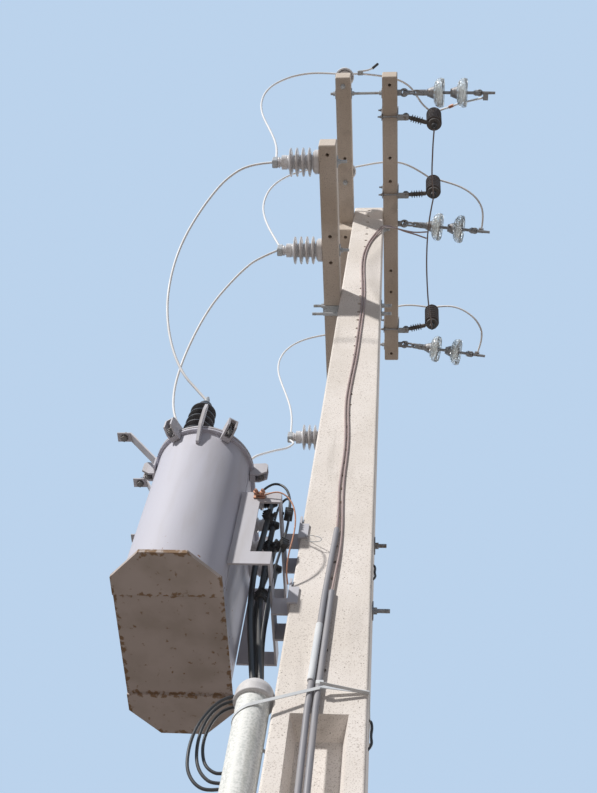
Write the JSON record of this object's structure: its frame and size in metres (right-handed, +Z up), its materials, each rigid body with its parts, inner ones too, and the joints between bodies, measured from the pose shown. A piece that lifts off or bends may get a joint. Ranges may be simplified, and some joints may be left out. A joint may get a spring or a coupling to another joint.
{
  "type": "pole mounted transformer",
  "caption": "Three-phase distribution transformer hung on a drilled concrete pole, with concrete crossarms, insulators, surge arresters, jumpers, earth wires and riser pipe.",
  "frame": {"origin": "centre of the pole's foot at ground level", "axes": "+Z up along the pole; X across the pole, the transformer on -X and the line side on +X; Y along the crossarms, the pole's drilled front face towards -Y"},
  "size_m": [1.7087, 1.9259, 9.4525],
  "materials": {
    "pole_concrete": "matte cast concrete, weathered",
    "arm_concrete": "matte cast concrete, weathered",
    "galvanised_steel": "dull hot-dip galvanised",
    "porcelain": "glossy light grey glaze",
    "clear_glass": "toughened clear glass",
    "arrester_rubber": "dark brown-black silicone rubber",
    "black_plastic": "matte",
    "grey_resin": "matte moulded resin",
    "tank_paint": "light grey paint, dirty and rusted at its edges",
    "base_paint": "grey-brown paint with rust",
    "bracket_paint": "off-white paint, weathered",
    "black_rubber": "matte",
    "bushing_rubber": "satin black",
    "grey_pvc": "light grey, dusty",
    "conduit_pvc": "mid grey",
    "black_cable": "black polyethylene",
    "light_wire": "light grey insulation, weathered",
    "earth_wire": "dark insulation"
  },
  "bodies": {
    "root": {"arm_bolts": "galvanised_steel", "arm_seat": "galvanised_steel", "arrester_brackets": "grey_resin", "arrester_clamps": "galvanised_steel", "arrester_earth_1": "earth_wire", "arrester_earth_2": "earth_wire", "arrester_tail_1": "light_wire", "arrester_tail_2": "light_wire", "arrester_tail_3": "light_wire", "arresters": "arrester_rubber", "base_end_panels": "base_paint", "base_plate": "base_paint", "cable_loop_1": "black_cable", "cable_loop_2": "black_cable", "cable_loop_3": "black_cable", "conduits": "conduit_pvc", "crossarm_left": "arm_concrete", "crossarm_lower": "arm_concrete", "crossarm_right": "arm_concrete", "crossarm_short": "arm_concrete", "disconnectors": "black_plastic", "glass_discs": "clear_glass", "hanger_plates": "tank_paint", "hanger_webs": "tank_paint", "hv_bushings": "bushing_rubber", "insulator_fittings": "galvanised_steel", "jumper_1_lower": "light_wire", "jumper_1_upper": "light_wire", "jumper_2_lower": "light_wire", "jumper_2_upper": "light_wire", "jumper_3_lower": "light_wire", "jumper_3_upper": "light_wire", "lid": "tank_paint", "lid_clamps": "tank_paint", "lid_gasket": "black_rubber", "line_jumper_1": "light_wire", "line_jumper_2": "light_wire", "line_jumper_3": "light_wire", "lv_bushings": "porcelain", "lv_cable_1": "black_cable", "lv_cable_2": "black_cable", "lv_cable_3": "black_cable", "lv_cable_4": "black_cable", "pin_insulators": "porcelain", "pole": "pole_concrete", "pole_earth_1": "earth_wire", "pole_earth_2": "earth_wire", "pole_supports": "bracket_paint", "post_insulators": "porcelain", "riser_cap": "grey_pvc", "riser_pipe": "grey_pvc", "strap": "galvanised_steel", "string_1_fittings": "galvanised_steel", "string_2_fittings": "galvanised_steel", "string_3_fittings": "galvanised_steel", "support_bolts": "galvanised_steel", "tank": "tank_paint", "tank_bars": "tank_paint"}
  },
  "joints": []
}
